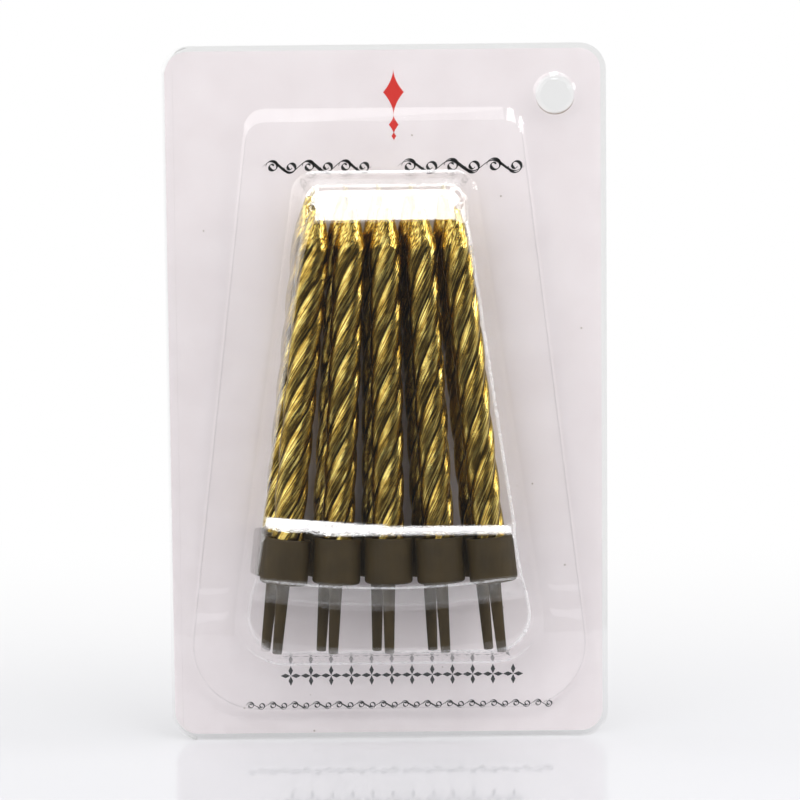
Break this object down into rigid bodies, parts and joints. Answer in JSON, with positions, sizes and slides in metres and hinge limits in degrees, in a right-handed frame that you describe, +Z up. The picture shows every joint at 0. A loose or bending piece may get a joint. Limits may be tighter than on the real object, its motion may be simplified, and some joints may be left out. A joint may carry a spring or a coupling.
{
  "type": "birthday candle pack",
  "caption": "Clear folding pack with spiral birthday candles in cake-spike holders, laid in a fan in two rows on a printed card under a hinged blister cover.",
  "frame": {"origin": "middle of the bounding box at the pack's foot edge", "axes": "+Z up the pack towards the wicks, -Y out of the bubble towards the viewer, +X towards the snap button's side"},
  "size_m": [0.082, 0.0204, 0.13],
  "materials": {
    "clear_plastic": "thin formed clear sheet, glossy",
    "card": "coated white board, faintly pink, with a small printed ornament",
    "gold_wax": "wax with a metallic gold lacquer, glossy, streaked along the twist",
    "cotton": "waxed braided cotton",
    "brown_plastic": "injection moulded, satin"
  },
  "bodies": {
    "base": {"back_shell": "clear_plastic", "hinge_fold": "clear_plastic", "printed_card": "card", "holder_front_1": "brown_plastic", "holder_front_2": "brown_plastic", "holder_front_3": "brown_plastic", "holder_front_4": "brown_plastic", "holder_front_5": "brown_plastic", "holder_back_1": "brown_plastic", "holder_back_2": "brown_plastic", "holder_back_3": "brown_plastic", "holder_back_4": "brown_plastic", "holder_back_5": "brown_plastic"},
    "cover": {"front_shell": "clear_plastic"},
    "front_candle_1": {"candle_front_1": "gold_wax", "wick_front_1": "cotton"},
    "front_candle_2": {"candle_front_2": "gold_wax", "wick_front_2": "cotton"},
    "front_candle_3": {"candle_front_3": "gold_wax", "wick_front_3": "cotton"},
    "front_candle_4": {"candle_front_4": "gold_wax", "wick_front_4": "cotton"},
    "front_candle_5": {"candle_front_5": "gold_wax", "wick_front_5": "cotton"},
    "back_candle_1": {"candle_back_1": "gold_wax", "wick_back_1": "cotton"},
    "back_candle_2": {"candle_back_2": "gold_wax", "wick_back_2": "cotton"},
    "back_candle_3": {"candle_back_3": "gold_wax", "wick_back_3": "cotton"},
    "back_candle_4": {"candle_back_4": "gold_wax", "wick_back_4": "cotton"},
    "back_candle_5": {"candle_back_5": "gold_wax", "wick_back_5": "cotton"}
  },
  "joints": [
    {"name": "cover_hinge", "type": "hinge", "parent": "base", "child": "cover", "pos_m": [-0.0401, 0.00928, 0.065], "axis": [0, 0, -1], "range_deg": [0, 180]},
    {"name": "front_candle_pull_1", "type": "slide", "parent": "base", "child": "front_candle_1", "axis": [0.1018, 0.0699, 0.9923], "range_m": [0, 0.007]},
    {"name": "front_candle_pull_2", "type": "slide", "parent": "base", "child": "front_candle_2", "axis": [0.0511, 0.0702, 0.9962], "range_m": [0, 0.007]},
    {"name": "front_candle_pull_3", "type": "slide", "parent": "base", "child": "front_candle_3", "axis": [0, 0.0703, 0.9975], "range_m": [0, 0.007]},
    {"name": "front_candle_pull_4", "type": "slide", "parent": "base", "child": "front_candle_4", "axis": [-0.0511, 0.0702, 0.9962], "range_m": [0, 0.007]},
    {"name": "front_candle_pull_5", "type": "slide", "parent": "base", "child": "front_candle_5", "axis": [-0.1018, 0.0699, 0.9923], "range_m": [0, 0.007]},
    {"name": "back_candle_pull_1", "type": "slide", "parent": "base", "child": "back_candle_1", "axis": [0.1152, 0.0241, 0.993], "range_m": [0, 0.007]},
    {"name": "back_candle_pull_2", "type": "slide", "parent": "base", "child": "back_candle_2", "axis": [0.0646, 0.0242, 0.9976], "range_m": [0, 0.007]},
    {"name": "back_candle_pull_3", "type": "slide", "parent": "base", "child": "back_candle_3", "axis": [0.0134, 0.0242, 0.9996], "range_m": [0, 0.007]},
    {"name": "back_candle_pull_4", "type": "slide", "parent": "base", "child": "back_candle_4", "axis": [-0.0378, 0.0242, 0.999], "range_m": [0, 0.007]},
    {"name": "back_candle_pull_5", "type": "slide", "parent": "base", "child": "back_candle_5", "axis": [-0.0888, 0.0242, 0.9958], "range_m": [0, 0.007]}
  ],
  "couplings": [
    {"joint": "front_candle_pull_1", "follows": "cover_hinge", "m_per_rad": 0.002228},
    {"joint": "front_candle_pull_2", "follows": "cover_hinge", "m_per_rad": 0.002228},
    {"joint": "front_candle_pull_3", "follows": "cover_hinge", "m_per_rad": 0.002228},
    {"joint": "front_candle_pull_4", "follows": "cover_hinge", "m_per_rad": 0.002228},
    {"joint": "front_candle_pull_5", "follows": "cover_hinge", "m_per_rad": 0.002228},
    {"joint": "back_candle_pull_1", "follows": "cover_hinge", "m_per_rad": 0.002228},
    {"joint": "back_candle_pull_2", "follows": "cover_hinge", "m_per_rad": 0.002228},
    {"joint": "back_candle_pull_3", "follows": "cover_hinge", "m_per_rad": 0.002228},
    {"joint": "back_candle_pull_4", "follows": "cover_hinge", "m_per_rad": 0.002228},
    {"joint": "back_candle_pull_5", "follows": "cover_hinge", "m_per_rad": 0.002228}
  ]
}
